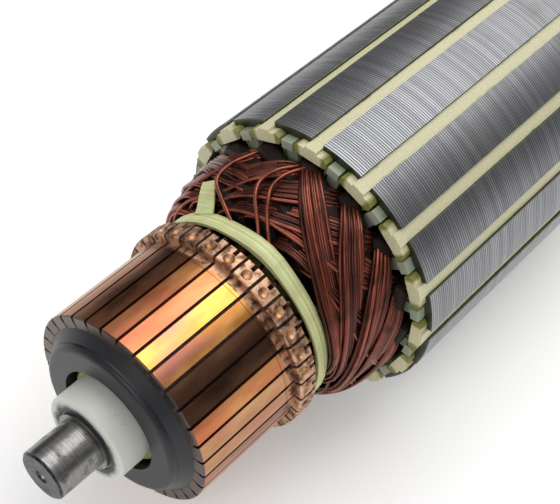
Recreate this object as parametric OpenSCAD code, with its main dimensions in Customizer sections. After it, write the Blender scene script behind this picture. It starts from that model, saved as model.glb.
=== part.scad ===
// Wound armature of a universal motor: shaft along X, commutator end at -X, lying level.
// The origin is on the shaft's axis, at the middle of the commutator-end journal.
// Angles round the shaft are counted from straight down, so a core slot faces the bench.

/* [Shaft] */
// Radius of the commutator-end journal, where the small ball bearing sits
journal_r = 4.5; // [4:0.1:5]
// Length of the commutator-end journal
journal_len = 8.1; // [7:0.1:12]
// Height of the bearing shoulder above the journal
shoulder_h = 0.8; // [0.4:0.1:1.2]
// How far the bearing shoulder stands in front of the collar
shoulder_proud = 0.5; // [0.2:0.1:1.5]
// Radius of the shaft under the insulating sleeve
shaft_r = 6.5; // [6.2:0.1:7]
// Length of bare shaft between the sleeve and the drive-end journal
shaft_bare_len = 3; // [1:0.5:8]
// Radius of the drive-end journal
drive_journal_r = 6; // [5.8:0.1:6.1]
// Length of the drive-end journal
drive_journal_len = 10; // [8:0.5:14]
// Number of teeth of the pinion cut in the shaft's drive end
pinion_teeth = 8; // [6:1:10]
// Radius over the pinion's teeth
pinion_tip_r = 5.6; // [5:0.1:5.7]
// Depth of the pinion's teeth
pinion_tooth_h = 1.5; // [1:0.1:2]
// Length of the pinion
pinion_len = 12; // [8:0.5:16]
// Chamfer on the shaft's ends and shoulders
chamfer = 0.4; // [0.2:0.05:0.6]
// Radius of the centre drilling in the shaft's ends
centre_r = 1.2; // [0.8:0.1:1.6]

/* [Collar and sleeve] */
// Outer radius of the nylon collar
collar_r = 8; // [7.6:0.1:8.8]
// How far the collar stands in front of the commutator hub
collar_stand = 4.8; // [3:0.1:7]
// How far the collar reaches into the hub's recess
collar_sunk = 1.6; // [1:0.1:2.4]
// Wall of the insulating sleeve
sleeve_t = 2.5; // [2.2:0.1:3]
// How far the sleeve runs on behind the rear end turns
sleeve_tail = 3; // [1:0.5:8]

/* [Commutator] */
// Radius of the commutator's running surface
bar_r = 18; // [17.6:0.1:19]
// Length of a bar with its riser
bar_len = 24.8; // [22:0.1:30]
// Length of the riser at the back of each bar
riser_len = 3.9; // [3.4:0.1:4.6]
// Height of the riser above the running surface
riser_h = 1.5; // [1.1:0.1:2]
// Bars for each core slot
bars_per_slot = 2; // [1:1:2]
// Turn of the bars against the core's slots, in degrees
bar_turn = 0.85; // [0:0.05:2]
// Thickness of the mica between two bars
mica_t = 0.55; // [0.4:0.05:0.8]
// Depth to which the mica is cut back below the running surface
undercut = 1; // [0.5:0.1:1.4]
// Height of the bar's end face that the hub leaves bare
bar_face_h = 2.2; // [1.8:0.1:2.6]
// Depth of the dovetail that holds each bar in the hub
dovetail_h = 3.6; // [3:0.1:4.2]
// How far the dovetail is cut in at each end
dovetail_cut = 4; // [3:0.1:5]
// Radius of the hub's flat front face
hub_face_r = 14.2; // [13.4:0.1:14.8]
// How far the hub stands in front of the bars
hub_nose = 2.8; // [2:0.1:4]
// Depth of the recess in the hub's front face
recess_depth = 3.3; // [2.6:0.1:5]
// Radius of the dished wire joint pressed into each riser
dish_r = 1.15; // [0.9:0.05:1.3]

/* [Core] */
// Outer radius of the core
core_r = 27; // [26.5:0.1:28]
// Length of the stack of steel sheets
core_len = 64; // [40:1:80]
// Number of slots, and of coils
slot_count = 16; // [14:1:16]
// Width of the slot's mouth
slot_opening = 2.5; // [2:0.1:3]
// Thickness of the tooth tips at the slot's mouth
tip_t = 1.3; // [1:0.1:1.6]
// Drop of the tooth tips' sloping underside
tip_slope = 0.9; // [0.6:0.1:1.2]
// Width of the teeth below their tips
tooth_neck = 3.4; // [3.1:0.1:3.7]
// Radius of the slot's round floor
slot_floor_r = 1.2; // [1.1:0.05:1.4]

/* [Insulation] */
// Thickness of the slot liners
liner_t = 0.35; // [0.25:0.05:0.45]
// How far the liners stand out of the core
liner_stand = 0.6; // [0.3:0.1:0.8]
// Thickness of the slot wedges under the tooth tips
wedge_t = 0.8; // [0.6:0.1:1]
// Depth of the wedge's rib below the core's surface
wedge_sink = 0.6; // [0.3:0.1:0.9]
// Length of the wedge's flared end in front of the core
wedge_head_len = 1.8; // [1.2:0.1:2.4]
// Thickness of the end insulators
end_plate_t = 0.8; // [0.5:0.1:1]
// Width of the end insulators' finger on each tooth
finger_w = 2.3; // [1.8:0.1:2.6]
// Thickness of the finger's raised tip
finger_tip_t = 1; // [0.8:0.1:1.2]

/* [Winding] */
// Outer radius of the end turns beside the core
winding_r = 22.6; // [22.2:0.1:23]
// Outer radius of the rear end turns' nose
rear_nose_r = 20.4; // [19.5:0.1:21]
// Distance from the band's back edge to the core
front_overhang = 15.9; // [14:0.1:20]
// Distance from the core to the back of the rear end turns
rear_overhang = 15; // [14:0.5:20]
// Number of slots that a coil spans
coil_span = 7; // [6:1:7]
// Radial thickness of the end turns' outer layer
upper_turn_t = 3; // [2.4:0.1:3.2]
// Radial thickness of the end turns' inner layer
lower_turn_t = 3.8; // [3.2:0.1:4]
// Diameter of the enamelled wire
wire_d = 0.65; // [0.5:0.05:0.75]

/* [Binding band] */
// Outer radius of the binding band
band_r = 18.5; // [18.2:0.1:19]
// Mean width of the band
band_w = 3; // [2.4:0.1:4]
// Thickness of the band
band_t = 0.9; // [0.7:0.05:1.1]
// Distance from the risers to the band
band_gap = 1.7; // [1.4:0.1:3]
// Extra thickness of the lump where the tape is tucked in
band_lump = 0.9; // [0.3:0.1:1.2]
// Length of the tape's loose end
tail_len = 4.6; // [3:0.2:6]

/* [Hidden] */
// Clearances: fit between pressed parts, gap between bundles, air beside parts in the slots
fit = 0.02;
strand_gap = 0.22;
slot_air = 0.05;

// Radii that follow from the driving sizes
shoulder_r = journal_r + shoulder_h;
sleeve_r = shaft_r + fit + sleeve_t;
recess_r = sleeve_r + 0.5;
riser_r = bar_r + riser_h;
mica_r = bar_r - undercut;
bar_in_r = bar_r - bar_face_h;
dovetail_r = bar_in_r - dovetail_h;
band_in_r = band_r - band_t;

// Stations along the shaft
shaft_x0 = -journal_len / 2 - chamfer;
shoulder_x = journal_len / 2;
collar_x = shoulder_x + shoulder_proud;
hub_x = collar_x + collar_stand;
sleeve_x = hub_x + collar_sunk;
bar_x = hub_x + hub_nose;
riser_x = bar_x + bar_len - riser_len;
bar_end_x = bar_x + bar_len;
band_x = bar_end_x + band_gap;
core_x = band_x + band_w + front_overhang;
core_end_x = core_x + core_len;
sleeve_end_x = core_end_x + rear_overhang + sleeve_tail;
drive_x = sleeve_end_x + shaft_bare_len;
pinion_x = drive_x + drive_journal_len;

// Angles
slot_pitch = 360 / slot_count;
half_tooth = slot_pitch / 2;
bar_count = slot_count * bars_per_slot;
bar_pitch = 360 / bar_count;
span = coil_span * slot_pitch;

// Slot section: y along the slot, from the shaft outwards, and x across it
function slot_half_w(y) = y * tan(half_tooth) - tooth_neck / 2 / cos(half_tooth);
slot_floor_y = (slot_floor_r + tooth_neck / 2) / sin(half_tooth);
slot_corner_y = core_r - tip_t - tip_slope;
wedge_y = slot_corner_y - wedge_t;

// Room for the two coil sides of a slot: the inner side takes the lower part of it
side_air = (liner_t + 4 * slot_air) / cos(half_tooth);
legs_y0 = slot_floor_y - 0.25 * (slot_floor_r - side_air);
legs_y1 = wedge_y - liner_t - 2 * slot_air;
lower_share = 0.58;
legs_split = legs_y0 + lower_share * (legs_y1 - legs_y0);
lower_leg_h = (legs_split - legs_y0) / 2;
lower_leg_r = legs_y0 + lower_leg_h;
upper_leg_h = (legs_y1 - legs_split - strand_gap) / 2;
upper_leg_r = legs_y1 - upper_leg_h;
corner = 0.62;
lower_leg_w = slot_half_w(lower_leg_r - corner * lower_leg_h) - side_air;
upper_leg_w = slot_half_w(upper_leg_r - corner * upper_leg_h) - side_air;

$fn = 96;

// ---- Helpers ----

// Stands what was drawn round Z along the shaft, with its start at x
module along(x) {
    translate([x, 0, 0]) rotate([0, 90, 0]) children();
}

// Turns a profile of [x, radius] points round the shaft
module turned(points) {
    rotate([0, 90, 0]) rotate_extrude() polygon([for (p = points) [p[1], p[0]]]);
}

// An outline from one half of it, mirrored across the slot's middle
function both_sides(half) = concat(half, [for (i = [len(half) - 1 : -1 : 0]) [half[i][0], -half[i][1]]]);

// A point at x, at radius r and at angle a round the shaft
function around(x, r, a) = [x, r * sin(a), -r * cos(a)];
function unit(v) = v / norm(v);
function mix(a, b, t) = a + (b - a) * t;
function clamp01(t) = min(max(t, 0), 1);
function smooth(t) = let (c = clamp01(t)) c * c * (3 - 2 * c);

// An eight-sided bundle section of half-width w and half-height h
function bundle(w, h) = [
    [w, corner * h], [corner * w, h], [-corner * w, h], [-w, corner * h],
    [-w, -corner * h], [-corner * w, -h], [corner * w, -h], [w, -corner * h]
];

// Places a section at p, square to the way t, with its height pointing away from the shaft
function ring_at(p, t, section) =
    let (out = unit([0, p[1], p[2]]))
    let (up = unit(out - (out * t) * t))
    let (side = cross(up, t))
    [for (s = section) p + side * s[0] + up * s[1]];

// Faces between rings of n points, from ring a to ring b
function skin(a, b, n) = [
    for (j = [0 : n - 1]) let (k = (j + 1) % n)
        for (f = [[a * n + j, b * n + k, a * n + k], [a * n + j, b * n + j, b * n + k]]) f
];

// ---- Shaft ----

module pinion_outline() {
    root_r = pinion_tip_r - pinion_tooth_h;
    pitch = 360 / pinion_teeth;
    // Angles of a tooth's root and tip corners, as shares of the pitch
    sunk_r = root_r - 0.2;
    corners = [[-0.34, sunk_r], [-0.13, pinion_tip_r], [0.13, pinion_tip_r], [0.34, sunk_r]];
    polygon([
        for (i = [0 : pinion_teeth - 1]) for (c = corners)
            c[1] * [cos((i + c[0]) * pitch), sin((i + c[0]) * pitch)]
    ]);
}

module shaft() {
    root_r = pinion_tip_r - pinion_tooth_h;
    end_x = pinion_x + pinion_len;
    color("slategray") difference() {
        union() {
            turned([
                [shaft_x0, 0], [shaft_x0, journal_r - chamfer],
                [shaft_x0 + chamfer, journal_r], [shoulder_x, journal_r],
                [shoulder_x, shoulder_r], [sleeve_x, shoulder_r],
                [sleeve_x, shaft_r], [drive_x - chamfer, shaft_r],
                [drive_x, drive_journal_r], [pinion_x, drive_journal_r],
                [pinion_x + chamfer, root_r], [end_x, root_r], [end_x, 0]
            ]);
            along(pinion_x) linear_extrude(pinion_len) pinion_outline();
        }
        along(shaft_x0 - fit) cylinder(r1 = centre_r, r2 = 0, h = 2 * centre_r);
        along(end_x + fit - 2 * centre_r) cylinder(r1 = 0, r2 = centre_r, h = 2 * centre_r);
    }
}

module shaft_sleeve() {
    in_r = shaft_r + fit;
    color("darkkhaki") turned([
        [sleeve_x, in_r], [sleeve_x, sleeve_r - chamfer], [sleeve_x + chamfer, sleeve_r],
        [sleeve_end_x - chamfer, sleeve_r], [sleeve_end_x, sleeve_r - chamfer], [sleeve_end_x, in_r]
    ]);
}

module nylon_collar() {
    in_r = shoulder_r + fit;
    color("whitesmoke") turned([
        [collar_x, in_r + chamfer], [collar_x, collar_r - chamfer],
        [collar_x + chamfer, collar_r], [sleeve_x, collar_r],
        [sleeve_x, in_r], [collar_x + chamfer, in_r]
    ]);
}

// ---- Commutator ----

// Inner edge of the bars from front to back, where the hub's moulding grips them
function dovetail_line(grow) =
    let (neck = dovetail_cut - 1.5 * grow, foot = dovetail_cut / 2 - 1.5 * grow)
    let (neck_r = bar_in_r - dovetail_h / 3 - grow, foot_r = dovetail_r - grow)
    [
        [bar_x, bar_in_r - grow], [bar_x + neck, neck_r], [bar_x + foot, foot_r],
        [bar_end_x - foot, foot_r], [bar_end_x - neck, neck_r], [bar_end_x, bar_in_r - grow]
    ];

module commutator_hub() {
    bore_r = sleeve_r + fit;
    round_r = 1.2;
    floor_x = hub_x + recess_depth;
    color([0.09, 0.1, 0.12]) turned(concat(
        [[floor_x, bore_r], [floor_x, recess_r], [hub_x, recess_r]],
        [[hub_x, hub_face_r - round_r]],
        [for (a = [15 : 15 : 90]) [hub_x + round_r * (1 - cos(a)), hub_face_r - round_r * (1 - sin(a))]],
        dovetail_line(fit),
        [[bar_end_x, bar_in_r - bar_face_h], [bar_end_x + 1, bar_in_r - bar_face_h - 1]],
        [[bar_end_x + 1, bore_r]]
    ));
}

// The bars' section along the shaft, up to the radius top and, at the risers, riser_top
module bar_ring(top, riser_top) {
    edge = 0.25;
    turned(concat(
        dovetail_line(0),
        [[bar_end_x, riser_top - 2 * edge], [bar_end_x - edge, riser_top]],
        [[riser_x + edge, riser_top], [riser_x, riser_top - edge], [riser_x, top]],
        [[bar_x + edge, top], [bar_x, top - edge]]
    ));
}

// A wedge of one bar pitch whose two sides leave half a mica's thickness each
module bar_wedge() {
    far = riser_r * 1.2;
    near = mica_t / 2 / sin(bar_pitch / 2);
    along(bar_x - 1) linear_extrude(bar_len + 2) polygon([
        [near, 0],
        [near, 0] + (far - near) * [cos(bar_pitch / 2), sin(bar_pitch / 2)],
        [near, 0] + (far - near) * [cos(bar_pitch / 2), -sin(bar_pitch / 2)]
    ]);
}

// Wires leave a riser through a slot in its back, under the dished joint
lead_h = 2 * wire_d;
joint_x = riser_x + 0.35 * riser_len;
lead_x = joint_x + dish_r;
lead_riser_r = riser_r - 0.45 - wire_d;

module commutator_bar(i) {
    angle = bar_turn + (i - 0.5) * bar_pitch;
    slot_w = wire_d + 2 * slot_air;
    slot_floor = lead_riser_r - wire_d - slot_air;
    color([0.78, 0.48, 0.3]) rotate([angle, 0, 0]) difference() {
        intersection() {
            bar_ring(bar_r, riser_r);
            bar_wedge();
        }
        translate([joint_x, 0, -riser_r - 0.55 * dish_r]) sphere(r = dish_r, $fn = 32);
        translate([lead_x, -slot_w / 2, -riser_r - 1])
            cube([riser_len, slot_w, riser_r + 1 - slot_floor]);
    }
}

module mica_separators() {
    t = mica_t - 2 * fit;
    color("dimgray") for (i = [1 : bar_count]) rotate([bar_turn + i * bar_pitch, 0, 0]) intersection() {
        bar_ring(mica_r, riser_r - undercut);
        translate([bar_x - 1, -t / 2, -riser_r - 1]) cube([bar_len + 2, t, riser_r - dovetail_r + 2]);
    }
}

// ---- Wire ends from the coils to the risers ----

lead_band_r = band_in_r - wire_d - slot_air - 0.1;
lead_end_x = band_x + band_w + 0.3;
lead_bend = 0.35;

module lead(angle) {
    stops = [
        [lead_x + 0.1, lead_riser_r], [bar_end_x + lead_bend, lead_riser_r],
        [band_x - lead_bend, lead_band_r], [lead_end_x, lead_band_r]
    ];
    half = wire_d / 2;
    section = [
        [half, half], [0, lead_h / 2], [-half, half], [-half, -half], [0, -lead_h / 2], [half, -half]
    ];
    n = len(section);
    last = len(stops) - 1;
    path = [for (s = stops) around(s[0], s[1], angle)];
    rings = [
        for (i = [0 : last])
            let (before = path[max(i - 1, 0)], after = path[min(i + 1, last)])
            ring_at(path[i], unit(after - before), section)
    ];
    polyhedron(
        points = [for (r = rings) for (p = r) p],
        faces = concat(
            [for (i = [0 : last - 1]) for (f = skin(i, i + 1, n)) f],
            [[for (j = [0 : n - 1]) j]],
            [[for (j = [n - 1 : -1 : 0]) last * n + j]]
        )
    );
}

module lead_wires() {
    color([0.5, 0.2, 0.12]) for (i = [1 : bar_count]) lead(bar_turn + (i - 0.5) * bar_pitch);
}

// ---- Binding band ----

// The tape was wound by hand: its width and place change a little round the shaft
lump_angle = 195;
tail_angle = 150;
tail_w = 3.8;
tail_t = 0.4;
function near_angle(a, b, reach) = smooth(1 - abs((a - b + 540) % 360 - 180) / reach);
function band_half_w(a) = band_w / 2 * (0.82 + 0.18 * cos(a - 175));
function band_shift(a) = 0.2 * near_angle(a, 165, 80) - 0.3 * near_angle(a, 280, 70);
function band_thick(a) = band_t + band_lump * near_angle(a, lump_angle, 24);

module band_ring() {
    steps = 48;
    n = 8;
    rings = [
        for (i = [0 : steps - 1]) let (a = i * 360 / steps, t = band_thick(a))
            let (x = band_x + band_w / 2 + band_shift(a), w = band_half_w(a))
            [for (s = bundle(w, t / 2)) around(x + s[0], band_in_r + t / 2 + s[1], a)]
    ];
    polyhedron(
        points = [for (r = rings) for (p = r) p],
        faces = [for (i = [0 : steps - 1]) for (f = skin(i, (i + 1) % steps, n)) f]
    );
}

// The tape's end comes out from under the band and lies back over the end turns
module band_tail() {
    steps = 6;
    lift = tail_t / 2 + 0.2;
    start_x = band_x + 0.75 * band_w;
    rings = [
        for (i = [0 : steps])
            let (t = i / steps, x = start_x + t * (0.25 * band_w + tail_len))
            let (r = max(band_in_r + band_t / 2, front_outer_r(x) + lift * smooth(4 * t)))
            let (a = tail_angle - 8 * t, w = tail_w / 2 * (1 - 0.25 * t * t))
            [for (c = [[-1, 1], [1, 1], [1, -1], [-1, -1]])
                around(x, r + c[1] * tail_t / 2, a) + c[0] * w * [0.15, cos(a), sin(a)]]
    ];
    polyhedron(
        points = [for (r = rings) for (p = r) p],
        faces = concat(
            [for (i = [0 : steps - 1]) for (f = skin(i, i + 1, 4)) f],
            [[0, 1, 2, 3], [for (j = [3 : -1 : 0]) steps * 4 + j]]
        )
    );
}

module binding_band() {
    color([0.82, 0.85, 0.6]) {
        band_ring();
        band_tail();
    }
}

// ---- Core ----

// One slot, standing along +X of the sheet, cut back all round by the inset
module slot_section(inset, mouth) {
    a = half_tooth;
    y0 = slot_floor_y;
    tangent_y = y0 * cos(a) * cos(a) + (tooth_neck / 2 + inset) * sin(a);
    tangent_w = slot_half_w(tangent_y) - inset / cos(a);
    top_y = slot_corner_y - inset;
    top_w = slot_half_w(top_y) - inset / cos(a);
    mouth_w = slot_opening / 2 - inset;
    tip_y = core_r - tip_t - inset;
    half = concat(
        [[tangent_y, tangent_w], [top_y, top_w], [tip_y, mouth_w]],
        mouth ? [[core_r + 1, mouth_w]] : []
    );
    translate([y0, 0]) circle(r = slot_floor_r - inset, $fn = 32);
    polygon(both_sides(half));
}

module core() {
    color("gray") along(core_x) linear_extrude(core_len) difference() {
        circle(r = core_r);
        circle(r = sleeve_r + fit);
        for (i = [0 : slot_count - 1]) rotate(i * slot_pitch) slot_section(0, true);
    }
}

// ---- Insulation ----

// A toothed plate against the core, whose fingers stand thicker behind the tooth tips
module end_insulator(x, way) {
    finger_r = slot_corner_y + 0.6;
    yoke_r = slot_floor_y - slot_floor_r;
    tip_x = way < 0 ? x - end_plate_t - finger_tip_t : x;
    plate_x = way < 0 ? x - end_plate_t : x;
    along(plate_x) linear_extrude(end_plate_t) difference() {
        union() {
            circle(r = yoke_r);
            for (i = [0 : slot_count - 1]) rotate((i + 0.5) * slot_pitch)
                translate([0, -finger_w / 2]) square([finger_r, finger_w]);
        }
        circle(r = sleeve_r + fit);
    }
    along(tip_x) linear_extrude(end_plate_t + finger_tip_t)
        for (i = [0 : slot_count - 1]) rotate((i + 0.5) * slot_pitch)
            translate([wedge_y - 0.2, -finger_w / 2]) square([finger_r - wedge_y + 0.2, finger_w]);
}

module front_insulator() {
    color([0.7, 0.74, 0.6]) end_insulator(core_x, -1);
}

module rear_insulator() {
    color([0.7, 0.74, 0.6]) end_insulator(core_end_x, 1);
}

module slot_liners() {
    color("khaki") for (i = [0 : slot_count - 1]) rotate([i * slot_pitch, 0, 0])
        along(core_x - liner_stand) linear_extrude(core_len + 2 * liner_stand) difference() {
            intersection() {
                slot_section(slot_air, false);
                square([wedge_y - slot_air, core_r], center = false);
            }
            slot_section(slot_air + liner_t, false);
        }
}

module slot_wedges() {
    top_w = slot_half_w(slot_corner_y) - 2 * slot_air;
    low_w = slot_half_w(wedge_y) - 2 * slot_air;
    rib_w = slot_opening / 2 - slot_air;
    half = [
        [wedge_y, low_w], [slot_corner_y - slot_air, top_w],
        [core_r - tip_t - slot_air, rib_w], [core_r - wedge_sink, rib_w]
    ];
    // The front end flares sideways, up to the finger in front of each tooth
    flare_w = wedge_y * tan(half_tooth) - finger_w / 2 - strand_gap;
    tip_y = core_r - tip_t;
    flare = [
        [wedge_y, flare_w - 0.5], [wedge_y + 0.4, flare_w],
        [tip_y - 0.4, flare_w], [tip_y + 0.2, flare_w - 0.7]
    ];
    color([0.9, 0.87, 0.66]) for (i = [0 : slot_count - 1]) rotate([i * slot_pitch, 0, 0]) {
        along(core_x - wedge_head_len) {
            linear_extrude(core_len + wedge_head_len + liner_stand) polygon(both_sides(half));
            linear_extrude(wedge_head_len - slot_air) polygon(both_sides(flare));
        }
    }
}

// ---- Coils ----

// A coil lies in the upper half of its own slot and in the lower half of the slot a span away.
// Its end turns run as a screw in the outer layer, dive at the nose and come back in the inner one.

turn_stops = [0, 0.09, 0.2, 0.32, 0.41, 0.46, 0.5, 0.54, 0.59, 0.68, 0.8, 0.91, 1];
nose_w = 1.2;
exit_len = liner_stand + 0.7 * upper_leg_w;
dive = 0.08;
nose_round = 0.04;
nose_share = 0.62;
layer_gap = 0.35;

// How far along the way to the nose, from 0 at the slots to nearly 1, rounded over at the top
function climb(f) =
    let (v = 1 - abs(2 * f - 1), k = nose_round)
    v < 1 - k ? v : 1 - k / 2 - (1 - v) * (1 - v) / (2 * k);

// Half the room across a bundle between its two neighbours in a layer of radius r
function turn_w(r, dx) =
    let (half_way = r * span / 2 * PI / 180)
    r * slot_pitch * PI / 360 * sin(atan2(dx, half_way)) - strand_gap / 2;

// How the end turns' outer radius grows from the nose, at 0, to the core, at 1
function bulge(u) = 1 - pow(1 - clamp01(u), 2.6);
function front_outer_r(x) = mix(band_r, winding_r, bulge((x - band_x - band_w - 0.5) / (front_overhang - exit_len)));

// One ring of an end turn: its centre, half-width and half-height
function turn_ring(f, face_x, way, overhang, nose_r) =
    let (dx = overhang - nose_w - exit_len, c = climb(f), u = 1 - c)
    let (x = face_x + way * (exit_len + dx * c))
    let (outer = mix(nose_r, winding_r, bulge(u)))
    let (layer = smooth((f - 0.5) / dive + 0.5))
    let (upper_h = upper_turn_t / 2, lower_h = lower_turn_t / 2)
    let (inner = mix(nose_r, winding_r, u) - upper_turn_t - layer_gap)
    let (upper_r = outer - upper_h, lower_r = inner - lower_h)
    let (r = mix(upper_r, lower_r, layer))
    let (w = min(turn_w(upper_r, dx), turn_w(lower_r, dx)))
    let (h = mix(upper_h, lower_h, layer))
    f == 0 ? [around(x, upper_leg_r, 0), min(upper_leg_w, 1.15 * w), upper_leg_h]
    : f == 1 ? [around(x, lower_leg_r, span), lower_leg_w, lower_leg_h]
    : [around(x, r, f * span), w * mix(1, nose_share, smooth((c - 0.7) / 0.25)), h];

coil_rings = concat(
    [for (f = turn_stops) turn_ring(f, core_x, -1, front_overhang - 0.5, band_r)],
    [for (i = [len(turn_stops) - 1 : -1 : 0])
        turn_ring(turn_stops[i], core_end_x, 1, rear_overhang, rear_nose_r)]
);

module coil(i) {
    count = len(coil_rings);
    n = 8;
    rings = [
        for (k = [0 : count - 1])
            let (here = coil_rings[k])
            let (from = unit(here[0] - coil_rings[(k + count - 1) % count][0]))
            let (to = unit(coil_rings[(k + 1) % count][0] - here[0]))
            let (t = unit(from + to))
            ring_at(here[0], t, bundle(here[1] / (from * t), here[2]))
    ];
    color([0.45, 0.16, 0.1]) rotate([(i - 1) * slot_pitch, 0, 0]) polyhedron(
        points = [for (r = rings) for (p = r) p],
        faces = [for (k = [0 : count - 1]) for (f = skin(k, (k + 1) % count, n)) f]
    );
}

// ---- Nodes ----

shaft();
shaft_sleeve();
nylon_collar();
commutator_hub();
for (i = [1 : bar_count]) commutator_bar(i);
mica_separators();
lead_wires();
binding_band();
core();
front_insulator();
rear_insulator();
slot_liners();
slot_wedges();
for (i = [1 : slot_count]) coil(i);
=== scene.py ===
import math
import random

import bmesh
import bpy
from mathutils import Matrix, Vector


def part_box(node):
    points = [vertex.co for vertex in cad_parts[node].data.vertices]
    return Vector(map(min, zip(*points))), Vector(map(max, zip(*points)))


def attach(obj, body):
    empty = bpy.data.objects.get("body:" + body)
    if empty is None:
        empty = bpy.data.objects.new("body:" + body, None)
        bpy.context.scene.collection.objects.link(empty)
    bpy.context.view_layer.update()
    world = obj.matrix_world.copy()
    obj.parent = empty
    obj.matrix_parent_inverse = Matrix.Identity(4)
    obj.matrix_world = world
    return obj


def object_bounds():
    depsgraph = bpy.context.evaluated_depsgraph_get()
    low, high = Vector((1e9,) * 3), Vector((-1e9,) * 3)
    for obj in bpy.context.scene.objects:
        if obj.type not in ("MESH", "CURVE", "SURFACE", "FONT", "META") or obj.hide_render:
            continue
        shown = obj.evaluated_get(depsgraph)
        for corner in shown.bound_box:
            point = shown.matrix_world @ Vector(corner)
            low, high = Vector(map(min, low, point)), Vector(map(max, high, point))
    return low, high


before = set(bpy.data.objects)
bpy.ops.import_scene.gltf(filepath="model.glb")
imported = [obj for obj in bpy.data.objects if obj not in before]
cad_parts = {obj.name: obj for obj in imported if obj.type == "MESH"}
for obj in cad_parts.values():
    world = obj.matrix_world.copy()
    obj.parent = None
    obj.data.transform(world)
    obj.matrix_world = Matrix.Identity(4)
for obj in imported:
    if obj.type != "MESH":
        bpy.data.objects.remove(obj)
cad_low, cad_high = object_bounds()
print("CAD box in mm:", [round(1000 * v, 2) for v in (*cad_low, *cad_high)])

# %% [markdown]
# Every station along the shaft is read from the CAD nodes, so the wires and patterns follow if a
# size changes there. Lengths are in metres, as in Blender, and a millimetre has its own name.
# Angles round the shaft are counted in degrees from straight down, as on the workshop drawing.
# %% Stations along the shaft
MM = 0.001
BARS, SLOTS = 32, 16
BAR_PITCH, SLOT_PITCH = 360 / BARS, 360 / SLOTS
bar_front, bar_back = (corner.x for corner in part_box("commutator_bar_1"))
core_front, core_back = (corner.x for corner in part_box("core"))
core_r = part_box("core")[1].y
band_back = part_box("binding_band")[1].x
SHEETS_PER_MM = 2.0
BAR_LIFT = 0.85  # degrees from straight down to the edge of the first bar
END_TURN_R = 22.6 * MM  # the bundles' outside where they leave the slots
print("bars", round(bar_front / MM, 2), round(bar_back / MM, 2), "core", round(core_front / MM, 2))


# %% [markdown]
# A shader is a tree of nodes. Writing each node by hand takes many lines, so two small helpers
# add a node with its options and sockets at once: a value that is a socket is linked, and any
# other value is typed into the socket.
# %% Helpers for shader nodes
def add(tree, kind, inputs=None, **options):
    """A shader node with its options set and its sockets filled."""
    made = tree.nodes.new("ShaderNode" + kind)
    for option, value in options.items():
        setattr(made, option, value)
    for socket, value in (inputs or {}).items():
        if isinstance(value, bpy.types.NodeSocket):
            tree.links.new(value, made.inputs[socket])
        else:
            made.inputs[socket].default_value = value
    return made


def math_of(tree, operation, a, b=0.0, c=0.0, clamp=False):
    """The result of one Math node."""
    made = add(tree, "Math", {0: a, 1: b, 2: c}, operation=operation, use_clamp=clamp)
    return made.outputs[0]


def ramp(tree, value, stops, smooth=False):
    """A colour that goes through the stops, each a place from 0 to 1 and a colour or grey."""
    made = add(tree, "ValToRGB", {0: value})
    band = made.color_ramp
    band.interpolation = "EASE" if smooth else "LINEAR"
    for k, (place, colour) in enumerate(stops):
        stop = band.elements[k] if k < 2 else band.elements.new(place)
        stop.position = place
        stop.color = (colour,) * 3 + (1,) if isinstance(colour, (int, float)) else (*colour, 1)
    return made.outputs[0]


def blend(tree, amount, below, above, mode="MIX"):
    """One colour over another, by an amount from 0 to 1."""
    made = add(tree, "Mix", data_type="RGBA", blend_type=mode)
    for socket, value in ((0, amount), (6, below), (7, above)):
        if isinstance(value, bpy.types.NodeSocket):
            tree.links.new(value, made.inputs[socket])
        elif socket:
            made.inputs[socket].default_value = (*value, 1)
        else:
            made.inputs[socket].default_value = value
    return made.outputs[2]


def noise(tree, place, scale, detail=3.0, rough=0.55, dims="3D"):
    """A noise value from 0 to 1 at a place, which is a vector, or a number in 1D."""
    socket = "W" if dims == "1D" else "Vector"
    made = add(
        tree,
        "TexNoise",
        {socket: place, "Scale": scale, "Detail": detail, "Roughness": rough},
        noise_dimensions=dims,
    )
    return made.outputs["Fac"]


# %% [markdown]
# Patterns on a turned part follow its own directions: along the shaft, out from it and round it.
# One node group works these out from Object coordinates, in millimetres and degrees, and every
# material uses it. Its sockets are made with interface.new_socket.
# %% The group that gives shaft directions
def new_group(name, inputs, outputs):
    """A node group with its sockets, its input node and its output node."""
    group = bpy.data.node_groups.new(name, "ShaderNodeTree")
    for label, kind, value in inputs:
        socket = group.interface.new_socket(label, in_out="INPUT", socket_type="NodeSocket" + kind)
        socket.default_value = value
    for label, kind in outputs:
        group.interface.new_socket(label, in_out="OUTPUT", socket_type="NodeSocket" + kind)
    return group, group.nodes.new("NodeGroupInput"), group.nodes.new("NodeGroupOutput")


def shaft_directions():
    outs = [("Along", "Float"), ("Out", "Float"), ("Round", "Float"), ("Place", "Vector")]
    group, _, out = new_group("shaft_directions", [], outs)
    here = add(group, "TexCoord").outputs["Object"]
    in_mm = add(group, "VectorMath", {0: here, "Scale": 1 / MM}, operation="SCALE").outputs[0]
    x, y, z = add(group, "SeparateXYZ", {0: in_mm}).outputs
    down = math_of(group, "MULTIPLY", z, -1.0)
    turn = math_of(group, "DEGREES", math_of(group, "ARCTAN2", y, down))
    turn = math_of(group, "MODULO", math_of(group, "ADD", turn, 360.0), 360.0)
    squares = math_of(group, "MULTIPLY_ADD", y, y, math_of(group, "MULTIPLY", z, z))
    for socket, value in zip(out.inputs, (x, math_of(group, "SQRT", squares), turn, in_mm)):
        group.links.new(value, socket)
    return group


directions = shaft_directions()
print("group:", directions.name, [s.name for s in directions.interface.items_tree])


def use(tree, group, **inputs):
    """A group placed in a material with its own values; its outputs by name."""
    made = tree.nodes.new("ShaderNodeGroup")
    made.node_tree = group
    for socket, value in inputs.items():
        name = socket.replace("_", " ").capitalize()
        if isinstance(value, bpy.types.NodeSocket):
            tree.links.new(value, made.inputs[name])
        else:
            made.inputs[name].default_value = value
    return made.outputs


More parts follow.
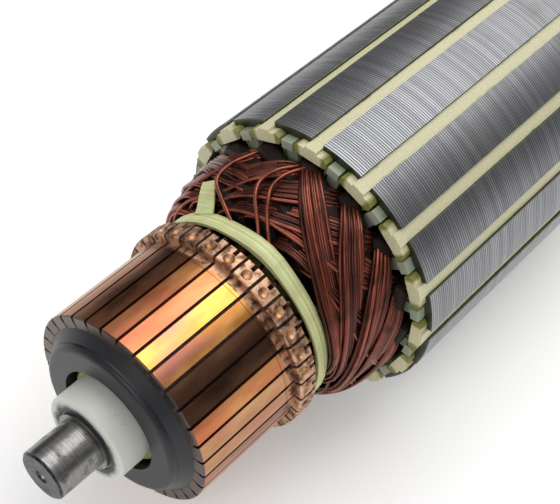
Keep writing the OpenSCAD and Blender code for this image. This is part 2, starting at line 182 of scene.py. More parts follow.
def new_material(name, **constants):
    """A material with its Principled shader; constants go on the shader's own sockets."""
    made = bpy.data.materials.new(name)
    made.use_nodes = True
    shader = made.node_tree.nodes["Principled BSDF"]
    for socket, value in constants.items():
        shader.inputs[socket.replace("_", " ")].default_value = value
    return made, made.node_tree, shader


def plug(tree, shader, **values):
    """Links patterns into the shader's sockets."""
    for socket, value in values.items():
        tree.links.new(value, shader.inputs[socket.replace("_", " ")])


def bump(tree, height, strength, depth):
    """A normal that a height from 0 to 1 pushes in or out by a depth in metres."""
    values = {"Height": height, "Strength": strength, "Distance": depth}
    return add(tree, "Bump", values).outputs[0]


def dress(material, slot, *nodes):
    """Puts a material on CAD nodes, whose own meshes stay as they are."""
    for name in nodes:
        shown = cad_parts[name]
        shown.data.materials.clear()
        shown.data.materials.append(material)


# %% [markdown]
# Two effects return on many pieces. Dirt gathers as soft clouds with small dark specks, and wear
# shows as fine lines that the lathe or the grinding wheel left. Each is a group with named
# inputs, so that a material only says how much of it there is.
# %% Groups for dirt and for turned lines
def dirt_group():
    """A mask of cloudy dirt with specks, from 0 for clean to 1."""
    ins = [("Cloud size", "Float", 0.25), ("Cover", "Float", 0.5), ("Specks", "Float", 0.5)]
    group, entry, out = new_group("dirt", ins, [("Mask", "Float")])
    size, cover, specks = entry.outputs[:3]
    place = use(group, directions)["Place"]
    cloud = noise(group, place, size, 5.0, 0.62)
    level = math_of(group, "SUBTRACT", 0.75, math_of(group, "MULTIPLY", cover, 0.5))
    soft = math_of(group, "SUBTRACT", cloud, level)
    soft = math_of(group, "MULTIPLY", soft, 4.0, clamp=True)
    small = math_of(group, "SUBTRACT", noise(group, place, 2.2, 2.0, 0.5), 0.68)
    small = math_of(group, "MULTIPLY", math_of(group, "MULTIPLY", small, 14.0, clamp=True), specks)
    group.links.new(math_of(group, "MAXIMUM", soft, small), out.inputs[0])
    return group


def turned_group():
    """Fine lines round the shaft, as a height from 0 to 1, broken up a little on the way round."""
    ins = [("Lines per mm", "Float", 6.0), ("Break up", "Float", 0.3)]
    group, entry, out = new_group("turned_lines", ins, [("Height", "Float")])
    lines_per_mm, break_up = entry.outputs[:2]
    way = use(group, directions)
    sway = math_of(group, "MULTIPLY", noise(group, way["Place"], 0.15, 2.0), break_up)
    along = math_of(group, "ADD", way["Along"], sway)
    fine = noise(group, along, lines_per_mm, 2.0, 0.7, "1D")
    group.links.new(fine, out.inputs[0])
    return group


dirt, turned_lines = dirt_group(), turned_group()
print("groups:", dirt.name, turned_lines.name)

# %% [markdown]
# The shaft is ground steel. Its free end shows fine turned lines, blue-black oxide and a rough
# dark face, and it has darkened where the collar's grease reached it.
# %% Shaft steel
def shaft_steel():
    made, tree, shader = new_material("shaft_steel", Metallic=1.0, Roughness=0.34)
    way = use(tree, directions)
    grime = use(tree, dirt, cloud_size=0.45, cover=0.5, specks=0.8)["Mask"]
    lines = use(tree, turned_lines, lines_per_mm=5.0, break_up=0.2)["Height"]
    grey = ramp(tree, lines, [(0.25, (0.15, 0.145, 0.14)), (0.75, (0.38, 0.37, 0.36))])
    worn = blend(tree, math_of(tree, "MULTIPLY", grime, 0.75), grey, (0.045, 0.04, 0.035))
    face = math_of(tree, "LESS_THAN", way["Along"], math_of(tree, "ADD", cad_low.x / MM, 0.35))
    rough_face = ramp(tree, noise(tree, way["Place"], 0.9, 6.0, 0.7), [(0.35, 0.015), (0.7, 0.13)])
    plug(tree, shader, Base_Color=blend(tree, face, worn, rough_face))
    plug(tree, shader, Roughness=ramp(tree, grime, [(0.0, 0.3), (1.0, 0.62)]))
    plug(tree, shader, Normal=bump(tree, lines, 0.25, 0.02 * MM))
    return made


dress(shaft_steel(), "shaft_steel", "shaft")

# %% [markdown]
# The collar is turned nylon: white, a little clear at its edges, and dark with grease round the
# shaft. Light spreads inside such a plastic, so it gets a little subsurface.
# %% Nylon collar
def nylon():
    made, tree, shader = new_material(
        "white_nylon", Roughness=0.42, Subsurface_Weight=0.25, Subsurface_Scale=1.5 * MM
    )
    way = use(tree, directions)
    cloud = noise(tree, way["Place"], 0.5, 4.0, 0.6)
    edge = math_of(tree, "ADD", way["Out"], math_of(tree, "MULTIPLY", cloud, 1.6))
    greasy = ramp(tree, math_of(tree, "DIVIDE", edge, 10.0), [(0.70, 1.0), (0.79, 0.0)])
    front = math_of(tree, "LESS_THAN", way["Along"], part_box("nylon_collar")[0].x / MM + 0.2)
    specks = use(tree, dirt, cloud_size=0.35, cover=0.12, specks=0.9)["Mask"]
    soiled = math_of(tree, "MULTIPLY", specks, 0.55)
    white = blend(tree, soiled, (0.70, 0.72, 0.66), (0.28, 0.24, 0.12))
    dark = math_of(tree, "MULTIPLY", greasy, front)
    plug(tree, shader, Base_Color=blend(tree, dark, white, (0.018, 0.018, 0.03)))
    return made


dress(nylon(), "nylon", "nylon_collar")

# %% [markdown]
# The hub is moulded phenolic, blue-black with a soft sheen, and the tube between it and the shaft
# is wound epoxy glass, yellow-green and matt.
# %% Phenolic hub and epoxy sleeve
def phenolic():
    made, tree, shader = new_material("phenolic", Roughness=0.4, Specular_IOR_Level=0.5)
    dust = use(tree, dirt, cloud_size=0.3, cover=0.25, specks=1.0)["Mask"]
    dusty = math_of(tree, "MULTIPLY", dust, 0.2)
    plug(tree, shader, Base_Color=blend(tree, dusty, (0.006, 0.007, 0.011), (0.06, 0.06, 0.07)))
    plug(tree, shader, Roughness=ramp(tree, dust, [(0.0, 0.36), (1.0, 0.6)]))
    return made


def epoxy_glass():
    made, tree, shader = new_material("epoxy_glass", Roughness=0.5)
    way = use(tree, directions)
    weave = noise(tree, way["Along"], 2.5, 2.0, 0.6, "1D")
    green = ramp(tree, weave, [(0.3, (0.17, 0.18, 0.03)), (0.7, (0.36, 0.36, 0.09))])
    plug(tree, shader, Base_Color=green)
    return made


dress(phenolic(), "phenolic", "commutator_hub")
dress(epoxy_glass(), "epoxy_glass", "shaft_sleeve")

# %% [markdown]
# A commutator bar is hard copper, turned after it is built in, so its face has fine lines round
# the shaft. Brushes and soldering heat tint each bar its own way, from brown through orange to
# yellow gold, so a function makes the metal and every bar takes one of a few tints.
# %% Copper of the commutator bars
riser_front = 33.05 * MM
dish_x = riser_front + 0.35 * (bar_back - riser_front)


def bar_copper(name, dark, light, heat):
    """Turned copper between two tones, with a third for heat; the riser is paler and crusted."""
    made, tree, shader = new_material(name, Metallic=1.0, Roughness=0.3)
    way = use(tree, directions)
    lines = use(tree, turned_lines, lines_per_mm=9.0, break_up=0.1)["Height"]
    long_cloud = add(tree, "VectorMath", {0: way["Place"], 1: (0.35, 1.0, 1.0)}, operation="MULTIPLY")
    patch = noise(tree, long_cloud.outputs[0], 0.24, 3.0, 0.55)
    face = ramp(tree, patch, [(0.35, dark), (0.62, light)], smooth=True)
    hot = noise(tree, long_cloud.outputs[0], 0.13, 2.0, 0.5)
    face = blend(tree, ramp(tree, hot, [(0.52, 0.0), (0.66, 0.8)]), face, heat)
    face = blend(tree, 0.22, face, ramp(tree, lines, [(0.3, 0.25), (0.7, 1.0)]), "MULTIPLY")
    on_riser = math_of(tree, "GREATER_THAN", way["Along"], riser_front / MM - 1.3)
    crust = noise(tree, way["Place"], 0.8, 3.0, 0.5)
    pale = ramp(tree, crust, [(0.3, (0.33, 0.17, 0.09)), (0.65, (0.72, 0.46, 0.31))])
    middle = math_of(tree, "MODULO", math_of(tree, "ADD", way["Round"], 360 - BAR_LIFT), BAR_PITCH)
    across = math_of(tree, "MULTIPLY", math_of(tree, "SUBTRACT", middle, BAR_PITCH / 2), 0.34)
    ahead = math_of(tree, "SUBTRACT", way["Along"], dish_x / MM)
    squares = math_of(tree, "MULTIPLY_ADD", across, across, math_of(tree, "MULTIPLY", ahead, ahead))
    far = math_of(tree, "SQRT", squares)
    rings = [(0.25, (0.72, 0.34, 0.10)), (0.5, (0.42, 0.13, 0.03)), (0.9, (0.72, 0.42, 0.27))]
    burnt = ramp(tree, math_of(tree, "DIVIDE", far, 2.0), rings)
    riser = blend(tree, ramp(tree, far, [(0.0, 0.9), (1.0, 0.0)]), pale, burnt)
    groove = math_of(tree, "ABSOLUTE", math_of(tree, "SUBTRACT", way["Along"], riser_front / MM - 1.9))
    groove = math_of(tree, "LESS_THAN", groove, 0.08)
    colour = blend(tree, on_riser, face, riser)
    colour = blend(tree, math_of(tree, "MULTIPLY", groove, 0.7), colour, (0.10, 0.04, 0.02))
    end_face = math_of(tree, "LESS_THAN", way["Along"], bar_front / MM + 0.25)
    colour = blend(tree, math_of(tree, "MULTIPLY", end_face, 0.9), colour, (0.10, 0.095, 0.09))
    sooty = math_of(tree, "MULTIPLY", ramp(tree, crust, [(0.36, 0.7), (0.52, 0.0)]), on_riser)
    colour = blend(tree, sooty, colour, (0.07, 0.03, 0.02))
    plug(tree, shader, Base_Color=colour)
    rough_face = ramp(tree, patch, [(0.3, 0.26), (0.8, 0.4)])
    plug(tree, shader, Roughness=blend(tree, on_riser, rough_face, (0.5, 0.5, 0.5)))
    height = blend(tree, on_riser, lines, crust)
    plug(tree, shader, Normal=bump(tree, height, 0.3, 0.03 * MM))
    return made


TINTS = {
    "brown": ((0.27, 0.11, 0.055), (0.48, 0.21, 0.10), (0.36, 0.12, 0.10)),
    "orange": ((0.48, 0.17, 0.065), (0.72, 0.33, 0.13), (0.58, 0.17, 0.10)),
    "gold": ((0.70, 0.33, 0.075), (0.84, 0.52, 0.12), (0.62, 0.24, 0.20)),
    "amber": ((0.52, 0.21, 0.06), (0.70, 0.34, 0.10), (0.36, 0.12, 0.16)),
    "dark": ((0.16, 0.075, 0.045), (0.25, 0.12, 0.07), (0.16, 0.065, 0.055)),
    "red": ((0.55, 0.18, 0.08), (0.74, 0.34, 0.13), (0.66, 0.15, 0.08)),
    "tan": ((0.48, 0.24, 0.11), (0.66, 0.39, 0.19), (0.52, 0.20, 0.13)),
}
coppers = {name: bar_copper("copper_" + name, *tones) for name, tones in TINTS.items()}
chosen = {12: "tan", 13: "brown", 14: "brown", 15: "brown", 16: "orange", 17: "orange", 18: "gold"}
chosen.update({19: "amber", 20: "dark", 21: "dark", 22: "red", 23: "tan", 24: "tan", 25: "brown"})
round_trip = ["brown", "orange", "tan", "amber", "brown", "red", "dark"]
for k in range(1, BARS + 1):
    tint = chosen.get(k, round_trip[k % len(round_trip)])
    dress(coppers[tint], "copper", f"commutator_bar_{k}")
print("bars dressed:", BARS, "in", len(coppers), "tints")

# %% [markdown]
# Mica parts the bars. It is cut back below the copper and holds dark brush dust, so it reads as
# a dark brown line.
# %% Mica
mica, tree, shader = new_material("mica", Roughness=0.7)
grain = noise(tree, use(tree, directions)["Place"], 1.5, 4.0, 0.6)
dusts = [(0.3, (0.02, 0.01, 0.008)), (0.7, (0.10, 0.045, 0.03))]
plug(tree, shader, Base_Color=ramp(tree, grain, dusts))
dress(mica, "mica", "mica_separators")


# %% [markdown]
# The core is a stack of 0.5 mm steel sheets. From the side each sheet is a fine line: bright on
# its ground edge, dark in the joint. Varnish has run over it in places and stains it olive.
# %% Stacked core steel
def core_steel():
    made, tree, shader = new_material("core_steel", Metallic=0.9, Roughness=0.42)
    way = use(tree, directions)
    sheet = math_of(tree, "MULTIPLY", way["Along"], SHEETS_PER_MM)
    part = math_of(tree, "FRACT", sheet)
    number = math_of(tree, "FLOOR", sheet)
    own = add(tree, "TexWhiteNoise", {"W": number}, noise_dimensions="1D").outputs["Value"]
    joint = math_of(tree, "ABSOLUTE", math_of(tree, "SUBTRACT", part, 0.5))
    edge = ramp(tree, joint, [(0.28, 1.0), (0.46, 0.0)])
    steel = ramp(tree, own, [(0.0, (0.27, 0.272, 0.285)), (1.0, (0.38, 0.385, 0.40))])
    steel = blend(tree, edge, (0.028, 0.028, 0.034), steel)
    stain = use(tree, dirt, cloud_size=0.12, cover=0.3, specks=0.3)["Mask"]
    steel = blend(tree, math_of(tree, "MULTIPLY", stain, 0.35), steel, (0.20, 0.21, 0.13))
    # Below its outside, on the slot walls and the stack's ends, the steel is painted dark olive:
    # varnish, and painted shade of the slots.
    inside = math_of(tree, "LESS_THAN", way["Out"], core_r / MM - 0.25)
    steel = blend(tree, inside, steel, (0.07, 0.08, 0.05))
    plug(tree, shader, Base_Color=steel)
    plug(tree, shader, Roughness=ramp(tree, stain, [(0.0, 0.36), (1.0, 0.6)]))
    plug(tree, shader, Normal=bump(tree, edge, 0.5, 0.05 * MM))
    return made


dress(core_steel(), "core_steel", "core")


# %% [markdown]
# The slots are lined with paper and closed by wedges of cream fibre board. The end plates are
# moulded in a grey-green plastic that lets some light through, and the varnish that the whole
# winding was dipped in stands on all of them in olive-yellow patches.
# %% Fibre, paper and varnish
def resin_stained(name, pale, deep, roughness, cover, glow=0.0):
    """An insulating board between its own pale tone and varnish-soaked tone."""
    made, tree, shader = new_material(name, Roughness=roughness, Subsurface_Weight=glow)
    shader.inputs["Subsurface Scale"].default_value = 1.2 * MM
    soak_and_shade = use(tree, dirt, cloud_size=0.3, cover=cover, specks=0.4)["Mask"]
    plug(tree, shader, Base_Color=blend(tree, soak_and_shade, pale, deep))
    fibre = noise(tree, use(tree, directions)["Place"], 3.0, 3.0, 0.6)
    plug(tree, shader, Normal=bump(tree, fibre, 0.3, 0.05 * MM))
    return made


def wedge_board():
    """Cream board, olive where it meets the teeth from varnish and painted shade of the tooth edges,
    and soaked in clouds over its heads.
    """
    made, tree, shader = new_material("wedge_fibre", Roughness=0.42, Subsurface_Weight=0.1)
    shader.inputs["Subsurface Scale"].default_value = 1.2 * MM
    way = use(tree, directions)
    middle = math_of(tree, "MODULO", math_of(tree, "ADD", way["Round"], SLOT_PITCH / 2), SLOT_PITCH)
    aside = math_of(tree, "ABSOLUTE", math_of(tree, "SUBTRACT", middle, SLOT_PITCH / 2))
    wander = math_of(tree, "MULTIPLY", noise(tree, way["Place"], 0.28, 5.0, 0.65), 5.0)
    edge = math_of(tree, "ADD", aside, wander)
    on_head = math_of(tree, "LESS_THAN", way["Along"], core_front / MM)
    edge = math_of(tree, "MULTIPLY_ADD", on_head, -2.2, edge)
    # Towards the teeth the board is painted olive: varnish, together with painted shade of the tooth
    # edges over the recessed strip.
    soak_and_shade = ramp(tree, math_of(tree, "DIVIDE", edge, 10.0), [(0.47, 0.0), (0.62, 1.0)])
    fibre = noise(tree, way["Place"], 3.0, 3.0, 0.6)
    pale = ramp(tree, fibre, [(0.3, (0.64, 0.61, 0.36)), (0.7, (0.78, 0.74, 0.50))])
    plug(tree, shader, Base_Color=blend(tree, soak_and_shade, pale, (0.24, 0.24, 0.055)))
    plug(tree, shader, Normal=bump(tree, fibre, 0.35, 0.06 * MM))
    return made


dress(wedge_board(), "wedge_fibre", "slot_wedges")
paper = resin_stained("liner_paper", (0.45, 0.44, 0.20), (0.22, 0.22, 0.05), 0.5, 0.6)
dress(paper, "liner_paper", "slot_liners")
plates = resin_stained("end_fibre", (0.36, 0.40, 0.30), (0.20, 0.21, 0.07), 0.3, 0.45, 0.3)
dress(plates, "end_fibre", "front_insulator", "rear_insulator")


# %% [markdown]
# The binding tape is woven glass soaked in resin: pale yellow-green, with threads that run along
# the tape, which here is round the shaft.
# %% Binding tape
def tape():
    made, tree, shader = new_material("binding_tape", Roughness=0.38, Subsurface_Weight=0.15)
    shader.inputs["Subsurface Scale"].default_value = 0.8 * MM
    way = use(tree, directions)
    slant = math_of(tree, "MULTIPLY_ADD", way["Round"], 0.004, way["Along"])
    thread = noise(tree, slant, 2.2, 3.0, 0.6, "1D")
    cloud = noise(tree, way["Place"], 0.3, 3.0, 0.5)
    tone = ramp(tree, thread, [(0.3, (0.56, 0.60, 0.22)), (0.7, (0.80, 0.81, 0.48))])
    soak_and_shade = ramp(tree, cloud, [(0.45, 0.0), (0.75, 0.6)])
    plug(tree, shader, Base_Color=blend(tree, soak_and_shade, tone, (0.50, 0.52, 0.25)))
    plug(tree, shader, Normal=bump(tree, thread, 0.5, 0.1 * MM))
    return made


dress(tape(), "binding_tape", "binding_band")


# %% [markdown]
# Enamelled wire is copper under a clear red-brown coat. The wires have a number of their own in
# the attribute "strand", so that no two look the same, and clouds of varnish darken them. The
# bundles beneath them are painted near black: painted shade of the deep gaps, on dark varnish.
# %% Enamelled wire
def wire_enamel(name, deep, bright):
    made, tree, shader = new_material(
        name, Metallic=0.8, Roughness=0.3, Coat_Weight=0.25, Coat_Roughness=0.15
    )
    own = add(tree, "Attribute", attribute_name="strand").outputs["Fac"]
    way = use(tree, directions)
    cloud = noise(tree, way["Place"], 0.35, 3.0, 0.5)
    tone = ramp(tree, own, [(0.0, deep), (1.0, bright)])
    soak_and_shade = ramp(tree, cloud, [(0.5, 0.0), (0.75, 0.75)])
    plug(tree, shader, Base_Color=blend(tree, soak_and_shade, tone, (0.020, 0.008, 0.007)))
    plug(tree, shader, Roughness=ramp(tree, cloud, [(0.3, 0.24), (0.8, 0.45)]))
    return made


enamel = wire_enamel("wire_enamel", (0.06, 0.013, 0.009), (0.34, 0.085, 0.045))
# The coil bundles under the wires are painted near black: painted shade of the deep gaps between the
# wires, on dark varnish.
bundle_shade, tree, shader = new_material("bundle_painted_shade", Roughness=0.55, Specular_IOR_Level=0.2)
grain = noise(tree, use(tree, directions)["Place"], 1.4, 4.0, 0.6)
gap_shade_tones = [(0.3, (0.004, 0.002, 0.002)), (0.75, (0.022, 0.008, 0.006))]
plug(tree, shader, Base_Color=ramp(tree, grain, gap_shade_tones))
dress(bundle_shade, "enamelled_wire", *[f"coil_{k}" for k in range(1, SLOTS + 1)])
dress(enamel, "enamelled_wire", "lead_wires")

# %% [markdown]
# The end winding is what the eye goes to: bundles of enamelled wire that leave a slot along the
# shaft and swing round it towards the commutator. A wire could be a curve with a bevel, but here
# it is made as a wire is drawn: a small ring of vertices is extruded from point to point. The
# first helpers say where a point on the shaft is, and lay one wire along a line of points.
# %% Helpers that lay a wire
def polar(x, r, turn):
    """A point at a distance along and out from the shaft, and at an angle from straight down."""
    a = math.radians(turn)
    return Vector((x, r * math.sin(a), -r * math.cos(a)))


def settled(points, rounds=2):
    """The same line with its corners eased, as stiff wire eases them."""
    for _ in range(rounds):
        between = [(a + 2 * b + c) / 4 for a, b, c in zip(points, points[1:], points[2:])]
        points = [points[0], *between, points[-1]]
    return points


def facing(here, way):
    """A matrix that stands at a point, with Z along the way and Y out from the shaft."""
    way = way.normalized()
    out = Vector((0, here.y, here.z))
    side = out.cross(way).normalized()
    out = way.cross(side)
    turned = Matrix((side, out, way)).transposed()
    return Matrix.Translation(here) @ turned.to_4x4()


def lay_wire(bm, points, radius, number, sides=6):
    """One wire: a ring extruded along the points and closed at both ends."""
    mark = bm.verts.layers.float.get("strand") or bm.verts.layers.float.new("strand")
    before_each, after_each = points[:1] + points, points[1:] + points[-1:]
    frames = [facing(b, c - a) for a, b, c in zip(before_each, points, after_each)]
    ring = bmesh.ops.create_circle(
        bm, cap_ends=True, segments=sides, radius=radius, matrix=frames[0]
    )["verts"]
    laid = list(ring)
    edges = list({e for v in ring for e in v.link_edges})
    for before, after in zip(frames, frames[1:]):
        grown = bmesh.ops.extrude_edge_only(bm, edges=edges)["geom"]
        ring = [g for g in grown if isinstance(g, bmesh.types.BMVert)]
        edges = [g for g in grown if isinstance(g, bmesh.types.BMEdge)]
        bmesh.ops.transform(bm, matrix=after @ before.inverted(), verts=ring)
        laid += ring
    bmesh.ops.edgeloop_fill(bm, edges=edges)
    for v in laid:
        v[mark] = number


def finish_piece(bm, name, material):
    """A piece of the object from a bmesh: normals outward, shaded, and riding on the part."""
    bmesh.ops.recalc_face_normals(bm, faces=bm.faces)
    mesh = bpy.data.meshes.new(name)
    bm.to_mesh(mesh)
    bm.free()
    mesh.materials.append(material)
    mesh.polygons.foreach_set("use_smooth", [True] * len(mesh.polygons))
    piece = bpy.data.objects.new(name, mesh)
    bpy.context.scene.collection.objects.link(piece)
    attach(piece, "root")
    return piece


# %% [markdown]
# The wires lie on the bundles' outside, whose radius grows from the nose to the core. A wire
# first runs straight out of its slot, and then its distance from the core nears its reach while
# it swings round, as a rope does that is thrown over a drum.
# %% The lie of the end turns
WIRE_R = 0.33 * MM
ENDS = {
    "front": {"face": core_front, "way": -1, "nose": band_back - 2.6 * MM, "nose_r": 18.4 * MM},
    "rear": {"face": core_back, "way": 1, "nose": core_back + 13.6 * MM, "nose_r": 20.3 * MM},
}
LEG_R = 21.3 * MM  # middle of a bundle inside its slot
LEG_LIFT = 0.8 * MM  # how far it rises as it leaves the slot
EXIT_LEN = 2.3 * MM  # the outside has its full radius this far from the core
TURN_FROM = 1.2 * MM  # the swing starts this far from the core
DECAY = 23.0  # degrees of swing in which a wire covers most of its reach
BULGE = 2.6  # how soon the outside widens from the nose
DIVE, DIVE_FROM, DIVE_SHARE = 3.2 * MM, 0.86, 0.14  # the last stretch goes under its neighbours


def outside_r(end, x):
    """The radius of the bundles' outside at a place along the shaft."""
    share = (x - end["nose"]) / (end["face"] - end["nose"] + end["way"] * EXIT_LEN)
    share = min(max(share, 0.0), 1.0)
    return end["nose_r"] + (END_TURN_R - end["nose_r"]) * (1 - (1 - share) ** BULGE)


def route(end, slot_turn, heading, reach, sweep, lift, stops=22):
    """The middle line of a bundle: out of its slot, then round the shaft and under at its end."""
    line = []
    for away in (-3.0, -1.2, 0.3):
        line.append((away * MM, 0.0, LEG_R))
    for k in range(stops):
        turn = sweep * ((k + 0.4) / (stops - 0.6)) ** 1.25
        away = TURN_FROM + (reach - TURN_FROM) * (1 - math.exp(-turn / DECAY))
        r = outside_r(end, end["face"] + end["way"] * away) + lift
        out_of_slot = min(1.0, away / (5 * MM))
        r = LEG_R + LEG_LIFT * out_of_slot + (r - LEG_R - LEG_LIFT) * out_of_slot
        r -= DIVE * max(0.0, turn / sweep - DIVE_FROM) / DIVE_SHARE
        line.append((away, turn, r))
    return [polar(end["face"] + end["way"] * a, r, slot_turn + heading * t) for a, t, r in line]


TAIL_TURN, TAIL_REACH = 149.0, 13.0  # degrees: the loose end's middle, and where the press ends
TAIL_BACK, TAIL_PRESS = 48.0 * MM, 1.3 * MM
ROW_STEP = 0.56 * MM  # between two rows of wires
SINK = 0.42 * MM  # every other wire lies this much deeper in its slot


def under_tail(here):
    """The tape's loose end lies over the wires, so they are pressed down below it."""
    turn = math.degrees(math.atan2(here.y, -here.z)) % 360
    near = max(0.0, 1 - abs(turn - TAIL_TURN) / TAIL_REACH) * (here.x < TAIL_BACK)
    pressed = 1 - TAIL_PRESS * min(1.0, 3 * near) / math.hypot(here.y, here.z)
    return Vector((here.x, here.y * pressed, here.z * pressed))


def lay_bundle(bm, line, count, narrow, wide, chance, close=1.0, rows=1):
    """Wires side by side along a line: narrow in the slot, wide outside it, a little unruly."""
    number = 0
    for row in range(rows):
        here = count - row
        for k in range(here):
            across = (2 * (k + 0.5) / here - 1) * (here / count)
            sway, phase = chance.uniform(0.05, 0.16) * MM, chance.uniform(0, 6.3)
            stray = chance.uniform(-0.12, 0.12) * MM
            sunk = SINK if k % 2 else 0.0
            shine = chance.random()
            points = []
            for i, middle in enumerate(line):
                a, b = line[max(i - 1, 0)], line[min(i + 1, len(line) - 1)]
                turned = facing(middle, b - a)
                share = i / (len(line) - 1)
                opened = min(1.0, max(0.0, (i - 2) / 7))
                opened = opened * opened * (3 - 2 * opened)
                half = narrow + (wide - narrow) * opened
                half *= 1 - (1 - close) * share
                side = across * half + sway * math.sin(phase + 7 * share) * opened
                up = row * ROW_STEP + stray * opened - sunk * (1 - opened)
                points.append(under_tail(turned @ Vector((side, up, 0))))
            lay_wire(bm, settled(points), WIRE_R, shine)
            number += 1
    return number


# %% [markdown]
# A hand-fed winder lays the coils one after another, and the last of them lies on top. So there
# is a lower layer of bundles that swing one way from every slot, and an upper layer that swings
# the other way and is heaviest at the coil that was wound last, on each half of the armature.
# %% Lay the end windings
chance = random.Random(7)
total = 0
for end_name, end in ENDS.items():
    depth = abs(end["nose"] - end["face"])
    for s in range(SLOTS):
        slot_turn = s * SLOT_PITCH
        under = bmesh.new()
        line = route(end, slot_turn, -1, depth - (0.3 + 0.9 * (s % 2)) * MM, 84, 0.12 * MM)
        total += lay_bundle(under, line, 8, 1.2 * MM, 2.5 * MM, chance, 0.9)
        finish_piece(under, f"{end_name}_lower_wires_{s + 1}", enamel)
        order = (s - 8) % 8
        if order > 5:
            continue
        over = bmesh.new()
        reach = depth + (1.4 * (end_name == "front") - 1.0 * order) * MM
        line = route(end, slot_turn, 1, reach, 104 - 9 * order, (0.95 - 0.12 * order) * MM)
        rows = 2 if order < 3 else 1
        total += lay_bundle(over, line, 9 if order else 10, 1.5 * MM, 2.6 * MM, chance, 0.85, rows)
        finish_piece(over, f"{end_name}_upper_wires_{s + 1}", enamel)
print("wires laid:", total)

# %% [markdown]
# A few wires leave their bundle early and go up to the commutator by themselves. They stand clear
# of the rest in a soft arc, catch the light, and slip under the binding band; their colour takes the
# brightest wire tones, a painted highlight. Each stop is the distance from the core and the angle
# and radius round the shaft, in mm and degrees.
# %% Loose leads
LOOSE = [
    [
        *((1.5, 157.5, 21.8), (-4, 154, 22.7), (-8.2, 150.5, 23.0), (-11.6, 150, 22.2)),
        *((-13.7, 156, 20.6), (-15.1, 163, 18.9), (-16.2, 169, 17.9), (-17.4, 174, 16.9)),
    ],
    [
        *((1.5, 178, 21.4), (-3, 177, 22.9), (-6.5, 173, 23.4), (-9.6, 171, 22.8)),
        *((-12.2, 174, 21.9), (-14.2, 180, 20.2), (-15.6, 185, 18.5), (-17.4, 190, 17.0)),
    ],
    [
        *((1.5, 181, 21.4), (-3, 180, 23.1), (-6.6, 177.5, 23.5), (-9.5, 177, 22.9)),
        *((-12.0, 180.5, 22.0), (-14.1, 186, 20.2), (-15.6, 192, 18.5), (-17.4, 197, 17.0)),
    ],
]


def eased(stops, steps=5):
    """Points on a smooth line through the stops."""
    row = [stops[0], *stops, stops[-1]]
    made = []
    for a, b, c, d in zip(row, row[1:], row[2:], row[3:]):
        for k in range(steps):
            t = k / steps
            square = (2 * a - 5 * b + 4 * c - d) * t**2
            cube = (3 * b - a - 3 * c + d) * t**3
            made.append(0.5 * (2 * b + (c - a) * t + square + cube))
    return made + [stops[-1]]


loose = bmesh.new()
for half in (0, 180):
    for stops in LOOSE:
        places = [polar(core_front + x * MM, r * MM, turn + half) for x, turn, r in stops]
        # The loose leads take the brightest wire tones: a painted highlight.
        lay_wire(loose, eased(places), WIRE_R, chance.uniform(0.85, 1.0), 8)
finish_piece(loose, "loose_leads", enamel)

# %% [markdown]
# The set is a plain pale floor that runs up to a pale world, one large soft lamp above and a
# weaker one at the side. The floor touches the core, on which the armature lies.
# %% Floor, lamps and world
floor_mesh = bpy.data.meshes.new("floor")
bm = bmesh.new()
bmesh.ops.create_grid(bm, x_segments=1, y_segments=1, size=6.0)
bm.to_mesh(floor_mesh)
bm.free()
floor = bpy.data.objects.new("floor", floor_mesh)
floor.location = (0.08, 0, cad_low.z)
bpy.context.scene.collection.objects.link(floor)
paint, tree, shader = new_material("floor_paint", Roughness=0.9)
shader.inputs["Base Color"].default_value = (0.92, 0.92, 0.92, 1)
shader.inputs["Emission Color"].default_value = (1, 1, 1, 1)
shader.inputs["Emission Strength"].default_value = 0.24
floor_mesh.materials.append(paint)


def soft_lamp(name, place, aim, size, watts):
    """A square softbox that looks at a point."""
    data = bpy.data.lights.new(name, "AREA")
    data.size, data.energy = size, watts
    lamp = bpy.data.objects.new(name, data)
    lamp.location = place
    lamp.rotation_mode = "QUATERNION"
    lamp.rotation_quaternion = (Vector(aim) - Vector(place)).to_track_quat("-Z", "Y")
    bpy.context.scene.collection.objects.link(lamp)


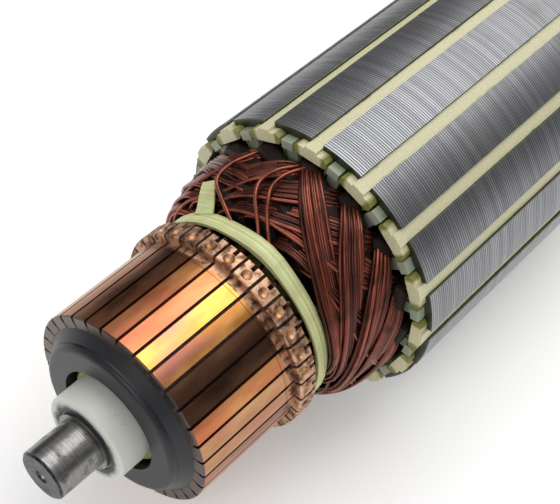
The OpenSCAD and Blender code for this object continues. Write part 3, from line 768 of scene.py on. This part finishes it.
middle = (0.06, 0, 0)
soft_lamp("softbox_above", (0.45, 0.02, 0.74), middle, 0.75, 4.2)
soft_lamp("softbox_side", (-0.55, -0.1, 0.6), middle, 0.5, 1.3)
world = bpy.data.worlds.new("studio")
world.use_nodes = True
bpy.context.scene.world = world
background = world.node_tree.nodes["Background"]
background.inputs["Color"].default_value = (1, 1, 1, 1)
background.inputs["Strength"].default_value = 0.42


def flag(name, way, distance, width, height, grey):
    """A dark card that only reflections see, as a photographer sets beside bright metal."""
    mesh = bpy.data.meshes.new(name)
    bm = bmesh.new()
    bmesh.ops.create_grid(bm, x_segments=1, y_segments=1, size=0.5)
    bmesh.ops.scale(bm, vec=(width, height, 1), verts=bm.verts)
    way = Vector(way).normalized()
    place = Matrix.Translation(Vector(middle) + way * distance)
    faced = way.to_track_quat("Z", "Y").to_matrix().to_4x4()
    bmesh.ops.transform(bm, matrix=place @ faced, verts=bm.verts)
    bm.to_mesh(mesh)
    bm.free()
    card = bpy.data.objects.new(name, mesh)
    bpy.context.scene.collection.objects.link(card)
    dull = new_material(name + "_card", Roughness=1.0, Specular_IOR_Level=0.0)[0]
    dull_shader = dull.node_tree.nodes["Principled BSDF"]
    dull_shader.inputs["Base Color"].default_value = (grey, grey, grey, 1)
    mesh.materials.append(dull)
    card.visible_camera = card.visible_diffuse = card.visible_shadow = False


flag("flag_right", (0.55, -0.78, 0.28), 0.5, 0.5, 0.26, 0.02)
flag("flag_left", (0.45, 0.85, 0.22), 0.5, 0.6, 0.3, 0.06)

# %% [markdown]
# The camera looks down on the commutator end from in front and the left. Its place and its three
# directions are those that make the teeth, the bars and the shaft line up as on the real one.
# %% Camera
camera_data = bpy.data.cameras.new("camera")
camera_data.lens = 83.2
camera = bpy.data.objects.new("camera", camera_data)
right, up = Vector((0.657, -0.7526, 0.0454)), Vector((0.5424, 0.5135, 0.6650))
ahead = Vector((0.5238, 0.4123, -0.7455))
turned = Matrix((right, up, -ahead)).transposed().to_4x4()
camera.matrix_world = Matrix.Translation(Vector((-64.45, -89.9, 169.3)) * MM) @ turned
camera_data.clip_start, camera_data.clip_end = 0.005, 50
bpy.context.scene.collection.objects.link(camera)
bpy.context.scene.camera = camera
bpy.context.scene.view_settings.view_transform = "Standard"
